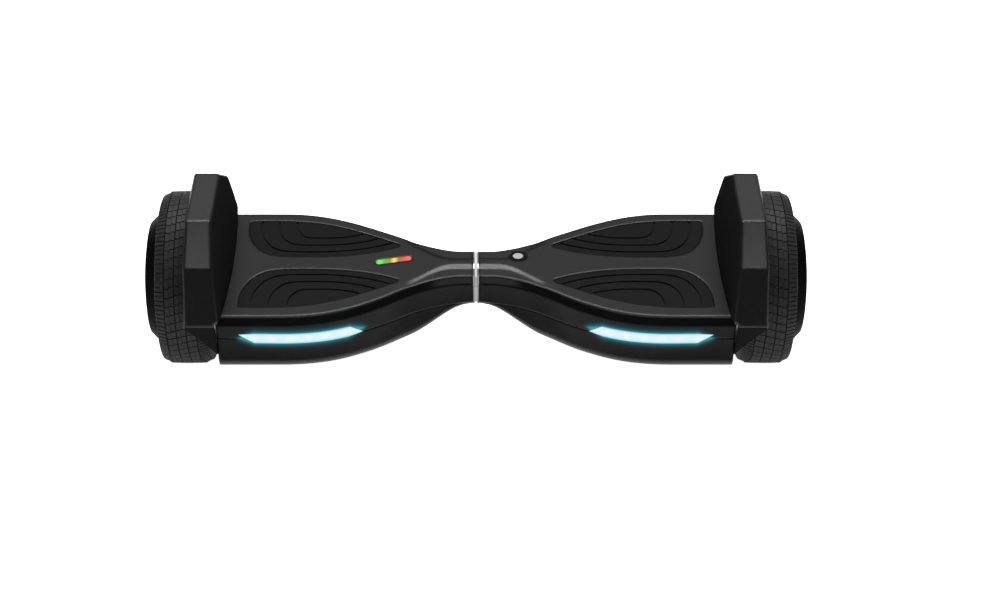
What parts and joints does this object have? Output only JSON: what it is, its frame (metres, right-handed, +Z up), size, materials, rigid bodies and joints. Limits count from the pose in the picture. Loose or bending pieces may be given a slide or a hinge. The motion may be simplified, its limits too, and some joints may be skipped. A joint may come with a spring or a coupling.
{
  "type": "self balancing hoverboard",
  "caption": "Two-wheeled self balancing board with hinged halves, hub motor wheels under faceted fenders, grooved foot pads, front light lenses and a narrow pivoting neck.",
  "frame": {"origin": "on the floor under the middle of the board", "axes": "+X along the board towards the half with the power button, -Y the front with the lights, +Z up"},
  "size_m": [0.647, 0.2092, 0.1789],
  "materials": {
    "shell_plastic": "fine-textured matt black moulding, glossier on the walls",
    "fender_plastic": "satin black moulding",
    "light_lens": "clear lens, lit cool white",
    "circuit_board": "solder-masked board",
    "zinc_screw": "zinc-plated steel",
    "bright_trim": "bright silver trim",
    "cast_frame": "as-cast aluminium",
    "machined_steel": "turned steel",
    "core_steel": "stacked steel laminations",
    "copper_wire": "enamelled copper wire",
    "tyre_rubber": "black tread rubber",
    "motor_aluminium": "machined aluminium",
    "magnet_plate": "nickel-plated magnets",
    "hub_plastic": "smooth black moulding",
    "pad_rubber": "matt moulded rubber",
    "battery_wrap": "blue shrink wrap",
    "indicator_lens": "tinted lens, lit green to red",
    "port_plastic": "black moulding",
    "lead_rubber": "jacketed leads",
    "bush_plastic": "black filled nylon",
    "bezel_plastic": "gloss black ring",
    "button_plastic": "pearl white cap",
    "cap_rubber": "soft rubber cap"
  },
  "bodies": {
    "left_half": {"left_top_cover": "shell_plastic", "left_bottom_cover": "shell_plastic", "left_fender": "fender_plastic", "left_light_lens": "light_lens", "left_light_board": "circuit_board", "left_sensor_board": "circuit_board", "left_cover_screws": "zinc_screw", "left_clamp_screws": "zinc_screw", "left_trim_ring": "bright_trim", "left_frame": "cast_frame", "left_axle_clamp": "cast_frame", "left_axle": "machined_steel", "left_stator": "core_steel", "left_windings": "copper_wire", "pivot_tube": "machined_steel", "retaining_ring": "machined_steel", "cap_pin": "machined_steel", "battery_pack": "battery_wrap", "battery_straps": "zinc_screw", "indicator_lens": "indicator_lens", "indicator_board": "circuit_board", "charge_port": "port_plastic", "wiring": "lead_rubber"},
    "left_wheel": {"left_tyre": "tyre_rubber", "left_rim": "motor_aluminium", "left_motor_cover": "motor_aluminium", "left_bearings": "machined_steel", "left_magnets": "magnet_plate", "left_hub_cap": "hub_plastic"},
    "left_rear_pad_body": {"left_rear_pad": "pad_rubber"},
    "left_front_pad_body": {"left_front_pad": "pad_rubber"},
    "right_half": {"right_top_cover": "shell_plastic", "right_bottom_cover": "shell_plastic", "right_fender": "fender_plastic", "right_light_lens": "light_lens", "right_light_board": "circuit_board", "right_sensor_board": "circuit_board", "right_cover_screws": "zinc_screw", "right_clamp_screws": "zinc_screw", "right_trim_ring": "bright_trim", "right_frame": "cast_frame", "right_axle_clamp": "cast_frame", "right_axle": "machined_steel", "right_stator": "core_steel", "right_windings": "copper_wire", "pivot_bushings": "bush_plastic", "control_board": "circuit_board", "sounder": "port_plastic", "power_switch": "port_plastic", "button_bezel": "bezel_plastic"},
    "right_wheel": {"right_tyre": "tyre_rubber", "right_rim": "motor_aluminium", "right_motor_cover": "motor_aluminium", "right_bearings": "machined_steel", "right_magnets": "magnet_plate", "right_hub_cap": "hub_plastic"},
    "right_rear_pad_body": {"right_rear_pad": "pad_rubber"},
    "right_front_pad_body": {"right_front_pad": "pad_rubber"},
    "power_button_body": {"power_button": "button_plastic"},
    "charge_cap_body": {"charge_cap": "cap_rubber"}
  },
  "joints": [
    {"name": "neck_twist", "type": "hinge", "parent": "left_half", "child": "right_half", "pos_m": [0, 0, 0.085], "axis": [1, 0, 0], "range_deg": [-12, 12]},
    {"name": "left_wheel_spin", "type": "hinge", "parent": "left_half", "child": "left_wheel", "pos_m": [-0.282, 0, 0.085], "axis": [1, 0, 0], "continuous": true},
    {"name": "left_rear_pad_press", "type": "slide", "parent": "left_half", "child": "left_rear_pad_body", "axis": [0, 0, -1], "range_m": [0, 0.0012], "stiffness_N_per_m": 5000, "springref_m": -0.0004},
    {"name": "left_front_pad_press", "type": "slide", "parent": "left_half", "child": "left_front_pad_body", "axis": [0, 0, -1], "range_m": [0, 0.0012], "stiffness_N_per_m": 5000, "springref_m": -0.0004},
    {"name": "right_wheel_spin", "type": "hinge", "parent": "right_half", "child": "right_wheel", "pos_m": [0.282, 0, 0.085], "axis": [1, 0, 0], "continuous": true},
    {"name": "right_rear_pad_press", "type": "slide", "parent": "right_half", "child": "right_rear_pad_body", "axis": [0, 0, -1], "range_m": [0, 0.0012], "stiffness_N_per_m": 5000, "springref_m": -0.0004},
    {"name": "right_front_pad_press", "type": "slide", "parent": "right_half", "child": "right_front_pad_body", "axis": [0, 0, -1], "range_m": [0, 0.0012], "stiffness_N_per_m": 5000, "springref_m": -0.0004},
    {"name": "power_button_press", "type": "slide", "parent": "right_half", "child": "power_button_body", "axis": [0, 0, -1], "range_m": [0, 0.0008], "stiffness_N_per_m": 600, "springref_m": -0.0006},
    {"name": "charge_cap_swing", "type": "hinge", "parent": "left_half", "child": "charge_cap_body", "pos_m": [-0.1072, 0, 0.034], "axis": [0, 1, 0], "range_deg": [0, 100]}
  ]
}
